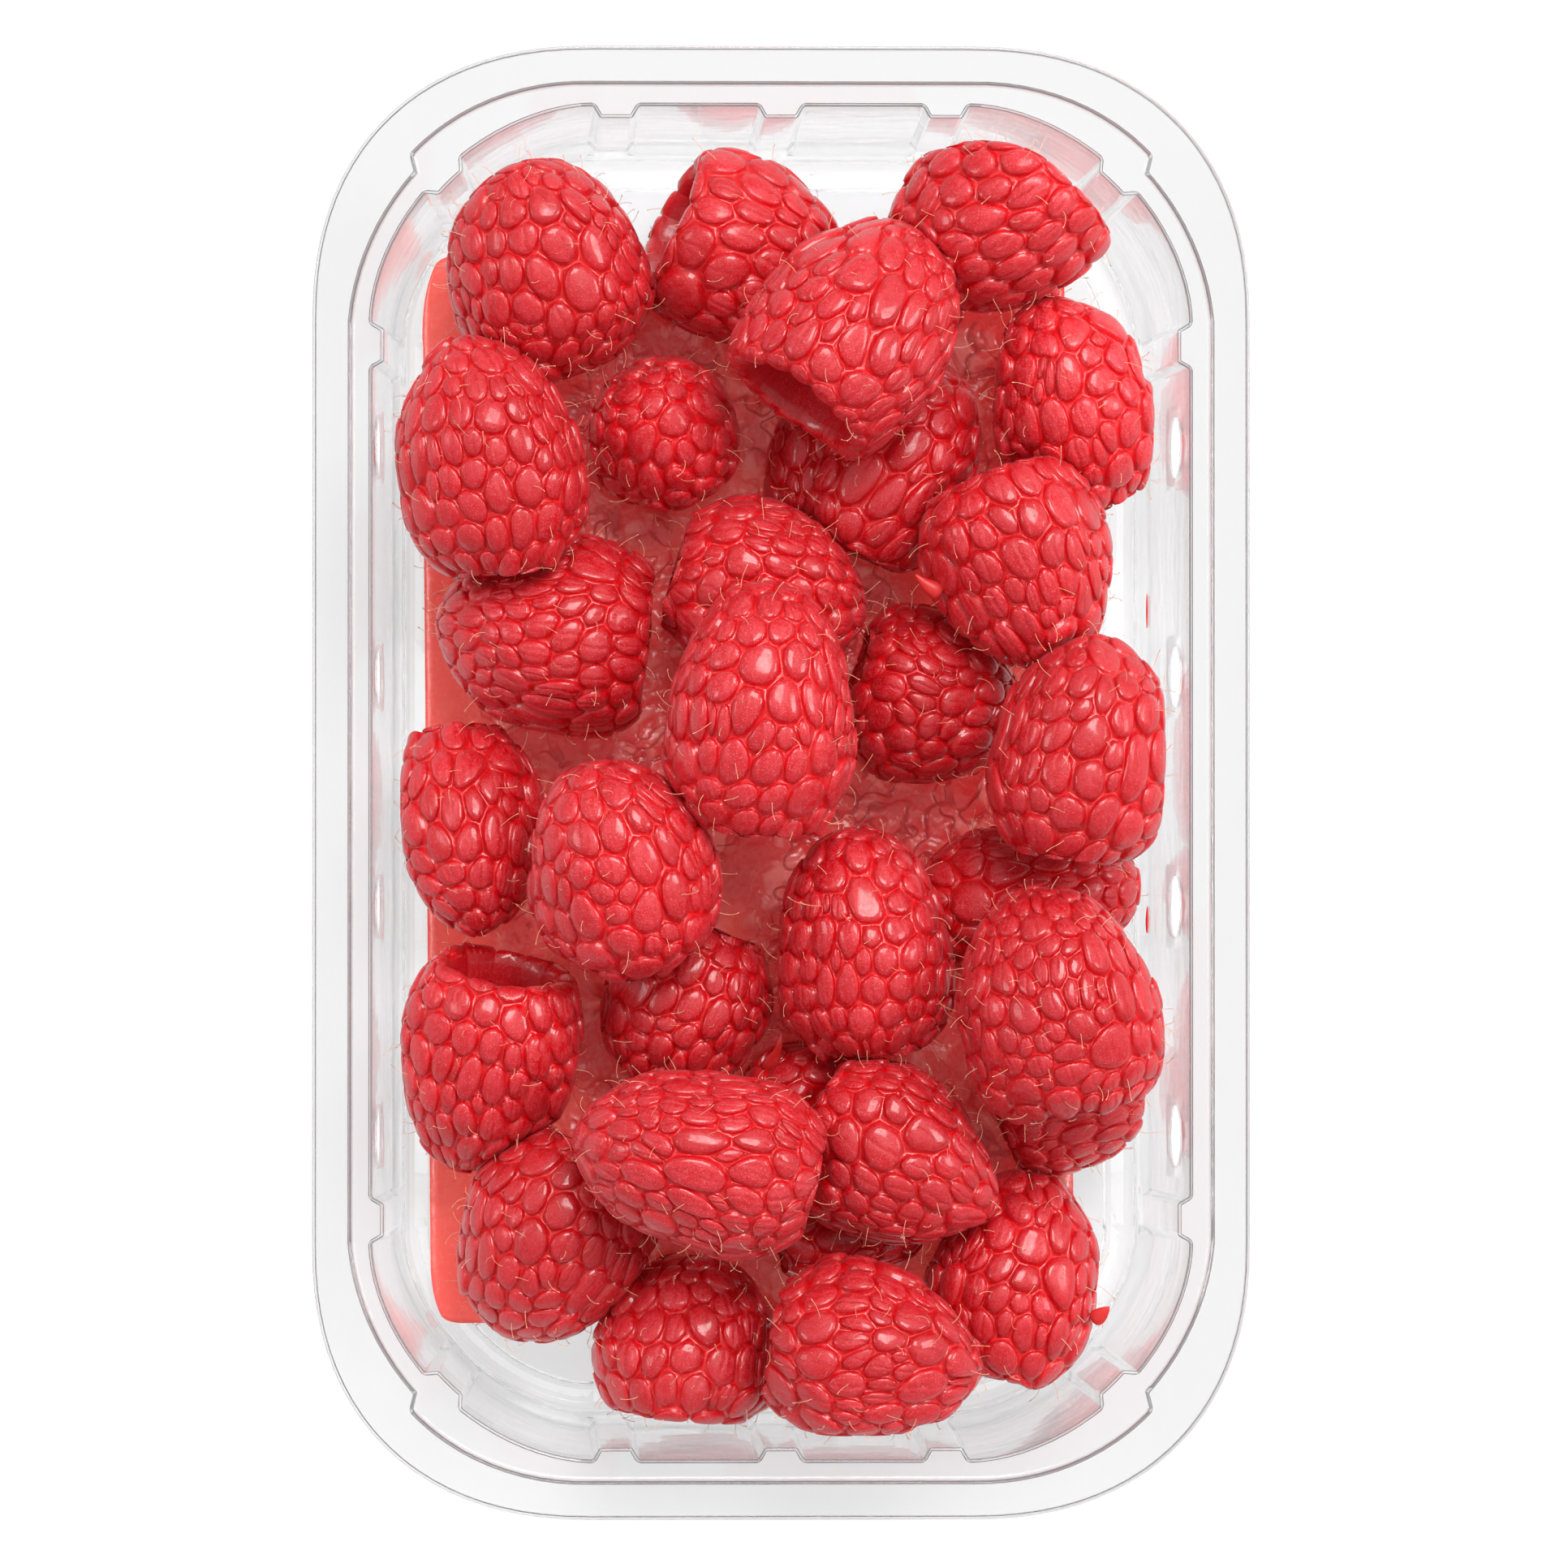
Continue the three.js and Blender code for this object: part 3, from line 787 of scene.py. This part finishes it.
# Small loose things: a crumb of torn fruit beside the berry at the lower right, a curl of skin in
# a gap, a spur on the side of a berry and two streaks of juice on the right wall. Each is a bent,
# tapering, flattened stalk; its path and radii are in millimetres.
scraps = {
    "crumb": {
        "path": [(41.2, -69.6, 21), (42.4, -68.8, 21.5), (43.6, -67.6, 22)],
        "radii": (1.1, 1.3, 0.05),
        "flat": 0.45,
    },
    "skinCurl": {
        "path": [(1.2, -31.8, 19), (0.8, -33.4, 19.5), (0.5, -35, 18.5), (-0.7, -36.4, 17.5),
                 (-0.2, -37.6, 16)],
        "radii": (0.1, 0.4, 0.6, 1.4, 0.6),
        "flat": 0.4,
    },
    "spur": {
        "path": [(21.5, 24.6, 30), (19.4, 25.6, 30.6), (17.8, 27.2, 31)],
        "radii": (1.7, 0.9, 0.1),
        "flat": 0.8,
    },
    "streakBehind": {
        "path": [(49.15, 25.4, 9.3), (49.2, 23.3, 9.3), (49.15, 20.4, 9.2)],
        "radii": (0.02, 0.22, 0.05),
        "flat": 0.5,
    },
    "streakBefore": {
        "path": [(49.2, -15.6, 9.4), (49.2, -17.4, 9.4), (49.15, -19.4, 9.2)],
        "radii": (0.05, 0.32, 0.12),
        "flat": 0.5,
    },
}


# The vertex that was drawn out of each one of a row
def followers(fresh, row):
    after = {}
    for vert in fresh:
        ends = (edge.other_vert(vert) for edge in vert.link_edges)
        after[next(end for end in ends if end in row)] = vert
    return after


def makeScrap(name, material):
    scrap = scraps[name]
    path = [Vector(point) * mm for point in scrap["path"]]
    mesh = bmesh.new()
    ring = bmesh.ops.create_circle(mesh, cap_ends=True, segments=10, radius=0.5 * mm)["verts"]
    edges = mesh.edges[:]
    for number, (point, radius) in enumerate(zip(path, scrap["radii"])):
        if number:
            drawn = bmesh.ops.extrude_edge_only(mesh, edges=edges)["geom"]
            edges = [item for item in drawn if isinstance(item, bmesh.types.BMEdge)]
            fresh = [item for item in drawn if isinstance(item, bmesh.types.BMVert)]
            after = followers(fresh, ring)
            ring = [after[old] for old in ring]
        before, beyond = path[max(0, number - 1)], path[min(len(path) - 1, number + 1)]
        turned = (beyond - before).to_track_quat("Z", "Y")
        for i, vert in enumerate(ring):
            angle = 2 * math.pi * i / len(ring)
            around = Vector((math.cos(angle), math.sin(angle) * scrap["flat"], 0.0)) * radius * mm
            vert.co = point + turned @ around
    bmesh.ops.contextual_create(mesh, geom=edges)
    bmesh.ops.recalc_face_normals(mesh, faces=mesh.faces[:])
    for face in mesh.faces:
        face.smooth = True
    piece = newPiece(name, mesh, material)
    smooth = piece.modifiers.new("round", "SUBSURF")
    smooth.levels = 2
    smooth.render_levels = 2
    return piece


pad = {
    "size": (84.4 * mm, 140 * mm),
    "middle": (-2.9 * mm, 0.0),
    "turn": 0.55,  # degrees
    "cell": 1.2 * mm,
    "sunk": 0.3 * mm,  # the film lies this far below the top of the pad's room
    "puckers": 0.22 * mm,
    "puckerSizes": (7 * mm, 2 * mm),
    "flatEdge": 3 * mm,  # no puckers this close to the edge
    "corner": 0.6 * mm,
}


def makePad(material):
    low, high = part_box("pad")
    width, length = pad["size"]
    mesh = bmesh.new()
    countX, countY = round(width / pad["cell"]), round(length / pad["cell"])
    bmesh.ops.create_grid(mesh, x_segments=countX, y_segments=countY, size=0.5)
    corner, flatEdge = pad["corner"], pad["flatEdge"]
    broad, narrow = pad["puckerSizes"]
    top = high.z - pad["sunk"]
    turn = Matrix.Rotation(math.radians(pad["turn"]), 4, "Z")
    place = Matrix.Translation((*pad["middle"], 0.0)) @ turn
    for vert in mesh.verts:
        x, y = vert.co.x * width, vert.co.y * length
        overX, overY = abs(x) - (width / 2 - corner), abs(y) - (length / 2 - corner)
        if overX > 0 and overY > 0:
            pull = max(overX, overY) / math.hypot(overX, overY)
            x = math.copysign(width / 2 - corner + overX * pull, x)
            y = math.copysign(length / 2 - corner + overY * pull, y)
        edge = min(width / 2 - abs(x), length / 2 - abs(y), flatEdge) / flatEdge
        wave = noise.noise(Vector((x, y, 0.0)) / broad) * 0.5
        wave += noise.noise(Vector((x, y, 0.01)) / narrow) * 0.5
        vert.co = place @ Vector((x, y, 0.0))
        keepInside(vert.co, 0.0)
        vert.co.z = top + wave * pad["puckers"] * max(0.0, edge)
    for face in mesh.faces:
        face.smooth = True
    piece = newPiece("absorbentPad", mesh, material)
    thick = piece.modifiers.new("thickness", "SOLIDIFY")
    thick.thickness = top - low.z - pad["puckers"]
    thick.offset = -1
    return piece


# The tray's own shape, in millimetres: half width, half length and height of the levels of
# its inner face, the power of their corners and how far the ribs stand in
tray = {
    "corner": (24, 58.6),  # where the corners begin
    "floor": [
        (44.1, 78.4, 1.7, 1.75, 0),
        (44.7, 79.0, 0.5, 1.75, 0),
        (46.8, 81.0, 0.5, 1.75, 0),
        (47.8, 82.0, 1.7, 1.72, 0),
        (48.3, 82.6, 5.5, 1.7, 0),
        (49.4, 83.8, 10, 1.72, 0.95),
    ],
    "wallTop": (52.0, 86.05, 52.3, 1.8, 1.5),
    "ledge": (54.4, 88.45, 52.5, 2.06, 0),
    "flangeFoot": (54.7, 88.75, 54, 2.06, 0),
    "edge": (59.6, 93.65, 54, 2.28, 0),
    "lipFoot": (59.6, 93.65, 52.2, 2.28, 0),
    "ribHalf": 2.1,
    "ribFoot": 2.95,
    "endRibs": (0, 21),
    "sideRib": 55.6,
    "cornerRib": 45,  # degrees, as are the next two
    "cornerRibHalf": 4.3,
    "cornerRibFoot": 6.3,
    "hook": (42, 0.05, 0.0125),  # where the flange's foot steps in, and by how much on each side
    "sheet": 0.5 * mm,
    "bend": 0.25 * mm,
    "sharp": 13,  # edges that turn by more degrees than this are rounded
    "lines": [(51.9, 52.45, 1.0), (52.9, 53.7, 0.0), (53.7, 54.1, 0.35)],  # from and to which height, and how grey: painted dark lines in place of the refraction at the bends
    "ventsY": (-45.25, -15.75, 13.75, 43.25),
    "vent": (8.3, 13.0, 36.0),  # width, height and height of the middle
    "ventRoom": (11.0, 16.4),  # the patch of wall that is taken out round a vent
}


# The places round a quarter of every outline, from the middle of an end to a side rib
def quarterPlaces():
    half, foot = tray["ribHalf"], tray["ribFoot"]
    middle = tray["endRibs"][1]
    side = tray["sideRib"]
    rib, ribHalf, ribFoot = tray["cornerRib"], tray["cornerRibHalf"], tray["cornerRibFoot"]
    places = [("end", 0, True), ("end", half, True), ("end", foot, False), ("end", 9, False)]
    places += [("end", middle - foot, False), ("end", middle - half, True)]
    places += [("end", middle + half, True), ("end", middle + foot, False)]
    places += [("arc", angle, False) for angle in range(86, 53, -4)]
    places += [("arc", rib + ribFoot, False), ("arc", rib + ribHalf, True)]
    places += [("arc", rib + 1, True), ("arc", rib - 1.7, True)]
    places += [("arc", rib - ribHalf, True), ("arc", rib - ribFoot, False)]
    places += [("arc", angle, False) for angle in range(36, 3, -4)]
    places += [("side", side + foot, False), ("side", side + half, True)]
    return places + [("side", side - half, True), ("side", side - foot, False)]


# All places round an outline, with the side of the tray that each is on
def placesRound():
    quarter = quarterPlaces()
    step = tray["ventRoom"][0] / 4
    grid = sorted(y + i * step for y in tray["ventsY"] for i in (-2, -1, 0, 1, 2))
    side = [("side", y, False) for y in grid]
    around = [(place, 1, 1) for place in reversed(quarter)]
    around += [(place, -1, 1) for place in quarter[1:]]
    around += [(place, -1, 1) for place in reversed(side)]
    around += [(place, -1, -1) for place in reversed(quarter)]
    around += [(place, 1, -1) for place in quarter[1:]]
    return around + [(place, 1, 1) for place in side]


def placePoint(place, level):
    (line, at, onRib), sideX, sideY = place
    halfX, halfY, z, power, recess = level
    if onRib:
        halfX, halfY = halfX - recess, halfY - recess
    cornerX, cornerY = tray["corner"]
    if line == "end":
        return Vector((sideX * at, sideY * halfY, z)) * mm
    if line == "side":
        return Vector((sideX * halfX, sideY * at, z)) * mm
    angle = math.radians(at)
    pull = 1.0
    if level is tray["flangeFoot"] or level is tray["ledge"]:
        hook, before, after = tray["hook"]
        pull = 1 - (before if at < hook else -after) * math.sin(2 * angle)
    x = cornerX + (halfX - cornerX) * math.cos(angle) ** (2 / power) * pull
    y = cornerY + (halfY - cornerY) * math.sin(angle) ** (2 / power) * pull
    return Vector((sideX * x, sideY * y, z)) * mm


# Rows of the wall are spaced so that a patch of it can be swapped for each vent
def trayLevels():
    low, high = tray["floor"][-1], tray["wallTop"]
    height, middle = tray["ventRoom"][1], tray["vent"][2]
    levels = list(tray["floor"])
    for i in (-2, -1, 0, 1, 2):
        z = middle + i * height / 4
        share = (z - low[2]) / (high[2] - low[2])
        levels.append(tuple(a + (b - a) * share for a, b in zip(low, high)))
    return levels + [high, tray["ledge"], tray["flangeFoot"], tray["edge"], tray["lipFoot"]]


def cutVent(mesh, side, middle):
    width, height, z = tray["vent"]
    roomY, roomZ = tray["ventRoom"][0] / 2, tray["ventRoom"][1] / 2
    patch = set()
    for face in mesh.faces:
        centre = face.calc_center_median() / mm
        inside = abs(centre.y - middle) < roomY and abs(centre.z - z) < roomZ
        if inside and centre.x * side > 40:
            patch.add(face)
    low, high = tray["floor"][-1], tray["wallTop"]
    slope = (high[0] - low[0]) / (high[2] - low[2])
    wallX = low[0] + (z - low[2]) * slope
    border = [edge for edge in mesh.edges if sum(face in patch for face in edge.link_faces) == 1]
    bmesh.ops.delete(mesh, geom=[face for face in mesh.faces if face in patch], context="FACES")
    drawn = bmesh.ops.extrude_edge_only(mesh, edges=border)["geom"]
    for vert in (item for item in drawn if isinstance(item, bmesh.types.BMVert)):
        angle = math.atan2((vert.co.z / mm - z) / roomZ, (vert.co.y / mm - middle) / roomY)
        up = math.sin(angle) * height / 2
        across = math.cos(angle) * width / 2
        vert.co = Vector((side * (wallX + up * slope), middle + across, z + up)) * mm


# One skin is drawn out from the floor, row by row, bent round and given its thickness
def makeTray(material):
    places = placesRound()
    levels = trayLevels()
    mesh = bmesh.new()
    bmesh.ops.create_circle(mesh, cap_ends=True, segments=len(places), radius=40 * mm)
    mesh.verts.ensure_lookup_table()
    row = mesh.verts[:]
    edges = mesh.edges[:]
    for number, level in enumerate(levels):
        if number:
            drawn = bmesh.ops.extrude_edge_only(mesh, edges=edges)["geom"]
            edges = [item for item in drawn if isinstance(item, bmesh.types.BMEdge)]
            fresh = [item for item in drawn if isinstance(item, bmesh.types.BMVert)]
            above = followers(fresh, row)
            row = [above[old] for old in row]
        for vert, place in zip(row, places):
            vert.co = placePoint(place, level)
    bmesh.ops.recalc_face_normals(mesh, faces=mesh.faces[:])
    if max(mesh.faces, key=lambda face: face.calc_area()).normal.z < 0:
        bmesh.ops.reverse_faces(mesh, faces=mesh.faces[:])
    sharp = math.radians(tray["sharp"])
    bends = [e for e in mesh.edges if len(e.link_faces) == 2 and e.calc_face_angle() > sharp]
    bmesh.ops.bevel(mesh, geom=bends, offset=tray["bend"], offset_type="OFFSET", affect="EDGES",
                    segments=2, profile=0.5, material=-1, clamp_overlap=True)
    for side in (-1, 1):
        for middle in tray["ventsY"]:
            cutVent(mesh, side, middle)
    mesh.normal_update()
    # grey painted onto the bends of the rim: painted dark lines in place of their refraction
    edgeLayer = mesh.loops.layers.float_color.new("edge")
    for face in mesh.faces:
        face.smooth = True
        z = face.calc_center_median().z / mm
        steep = abs(face.normal.z) < 0.9
        lines = (grey for low, high, grey in tray["lines"] if steep and low < z < high)
        line = max(lines, default=0)
        for loop in face.loops:
            loop[edgeLayer] = (line, line, line, 1.0)
    piece = newPiece("clearTray", mesh, material)
    thick = piece.modifiers.new("sheet", "SOLIDIFY")
    thick.thickness = tray["sheet"]
    thick.offset = -1
    thick.use_even_offset = True
    even = piece.modifiers.new("even shading", "WEIGHTED_NORMAL")
    even.keep_sharp = True
    return piece


camera = {
    "distance": 1.55,  # above the rim
    "aside": (-0.030, -0.010),  # how far it stands off the middle, as shares of the distance
    "target": (0.3 * mm, -0.2 * mm),
    "width": 199.2 * mm,  # what the view covers at the rim
    "sensor": 36,
}


def makeCamera():
    target = Vector((*camera["target"], rimHeight))
    asideX, asideY = camera["aside"]
    distance = camera["distance"]
    place = Vector((asideX * distance, asideY * distance, rimHeight + distance))
    data = bpy.data.cameras.new("camera")
    holder = bpy.data.objects.new("camera", data)
    bpy.context.scene.collection.objects.link(holder)
    back = (place - target).normalized()
    right = Vector((0.0, 1.0, 0.0)).cross(back).normalized()
    turned = Matrix((right, back.cross(right), back)).transposed()
    holder.matrix_world = Matrix.Translation(place) @ turned.to_4x4()
    data.sensor_width = camera["sensor"]
    data.lens = camera["sensor"] * (target - place).length / camera["width"]
    data.clip_end = 10
    bpy.context.scene.camera = holder


bounces = {
    "max_bounces": 7,
    "diffuse_bounces": 2,
    "glossy_bounces": 2,
    "transmission_bounces": 7,
    "transparent_max_bounces": 10,
}

# name, place, size across, watts
softboxes = [
    ("top", (0.4, 1.1, 2.1), 1.1, 42),
    ("right", (2.2, 0.4, 1.6), 0.8, 20),
    ("left", (-2.2, 0.3, 1.5), 0.8, 10),
]
worldStrength = 0.42


def makeLights():
    for name, place, size, watts in softboxes:
        data = bpy.data.lights.new(name, "AREA")
        data.size = size
        data.energy = watts
        holder = bpy.data.objects.new(name, data)
        bpy.context.scene.collection.objects.link(holder)
        holder.location = place
        towards = Vector((0, 0, 0.02)) - Vector(place)
        holder.rotation_euler = towards.to_track_quat("-Z", "Y").to_euler()
    world = bpy.data.worlds.new("studio")
    world.use_nodes = True
    background = world.node_tree.nodes["Background"]
    background.inputs["Color"].default_value = (1.0, 1.0, 1.0, 1.0)
    background.inputs["Strength"].default_value = worldStrength
    world.cycles.sampling_method = "NONE"
    bpy.context.scene.world = world


def makeFloor(material):
    mesh = bmesh.new()
    bmesh.ops.create_grid(mesh, x_segments=1, y_segments=1, size=5.0)
    piece = newPiece("floor", mesh, material)


makeCamera()
makeLights()
makeFloor(paleFloor())
bpy.context.scene.view_settings.view_transform = "Standard"
for name, count in bounces.items():
    setattr(bpy.context.scene.cycles, name, count)
print("camera, lights and floor")

clearTray = makeTray(clearPlastic())
fit(clearTray, "tray")
print("tray")

absorbentPad = makePad(padFilm())
fit(absorbentPad, "pad")
print("pad")

skin = berrySkin()
bodies = [Body(*berry) for berry in berries]
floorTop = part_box("raspberries")[0].z - 0.2 * mm
allRoots = []
for number, body in enumerate(bodies, 1):
    piece, roots = makeBerry(f"berry{number:02}", body, bodies, skin, floorTop)
    fit(piece, "raspberries")
    allRoots += roots
print("berries:", len(bodies), "with", len(allRoots), "drupelets")

berryHairs = makeHairs(allRoots, hairStuff())
fit(berryHairs, "raspberries")
print("hairs")

flesh = tornFlesh()
for name in scraps:
    fit(makeScrap(name, flesh), "raspberries")
print("scraps:", len(scraps))
